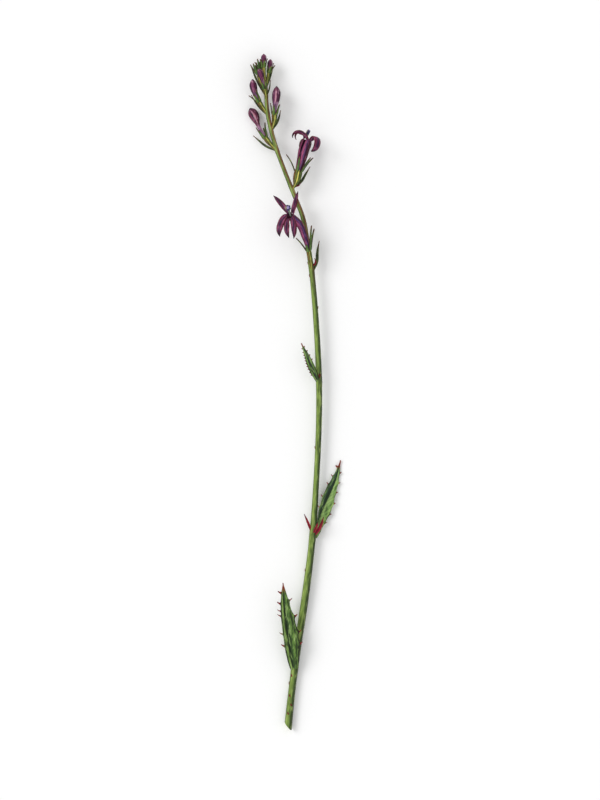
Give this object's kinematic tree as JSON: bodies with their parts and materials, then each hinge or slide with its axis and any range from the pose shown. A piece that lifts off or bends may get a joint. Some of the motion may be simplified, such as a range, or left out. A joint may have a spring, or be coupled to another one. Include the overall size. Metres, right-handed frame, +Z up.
{
  "type": "cut flowering stem of heath lobelia",
  "caption": "Cut stem of heath lobelia lying flat, with toothed leaves, open lobed flowers and a cluster of buds at the tip.",
  "frame": {"origin": "on the surface that the stem lies on, under the middle of the whole stem", "axes": "+Y along the stem from its cut end to its tip, +Z up from the surface, +X to the right when the tip points away and the stem is seen from above"},
  "size_m": [0.0335, 0.2363, 0.0138],
  "materials": {
    "stem_green": "waxy green, darker in its grooves",
    "leaf_green": "satin leaf with red tooth tips",
    "bract_green": "satin green with a brown edge",
    "calyx_green": "satin yellow-green with brown ribs",
    "leaflet_red": "satin dark red",
    "bud_purple": "satin purple with pink streaks",
    "petal_purple": "velvety maroon, cream inside",
    "anther_blue": "matte blue-grey"
  },
  "bodies": {
    "root": {"stem": "stem_green", "lower_leaf": "leaf_green", "middle_leaf": "leaf_green", "upper_leaf": "leaf_green", "middle_axil_long_leaflet": "leaflet_red", "middle_axil_short_leaflet": "leaflet_red", "middle_axil_left_leaflet": "leaflet_red", "upper_axil_bud": "leaflet_red", "lower_flower_bract": "bract_green", "lower_flower_bracteole": "leaflet_red", "lower_flower_calyx": "calyx_green", "lower_flower_corolla": "petal_purple", "lower_flower_stamens": "anther_blue", "upper_flower_bract": "bract_green", "upper_flower_bracteole": "leaflet_red", "upper_flower_calyx": "calyx_green", "upper_flower_corolla": "petal_purple", "upper_flower_stamens": "anther_blue", "bud_1_bract": "bract_green", "bud_1_calyx": "calyx_green", "bud_1_petals": "bud_purple", "bud_2_bract": "bract_green", "bud_2_calyx": "calyx_green", "bud_2_petals": "bud_purple", "bud_3_bract": "bract_green", "bud_3_calyx": "calyx_green", "bud_3_petals": "bud_purple", "bud_4_bract": "bract_green", "bud_4_calyx": "calyx_green", "bud_4_petals": "bud_purple", "bud_5_bract": "bract_green", "bud_5_calyx": "calyx_green", "bud_5_petals": "bud_purple", "bud_6_calyx": "calyx_green", "bud_6_petals": "bud_purple", "bud_7_bract": "bract_green", "bud_7_calyx": "calyx_green", "bud_7_petals": "bud_purple", "bud_8_calyx": "calyx_green", "bud_8_petals": "bud_purple"}
  },
  "joints": []
}
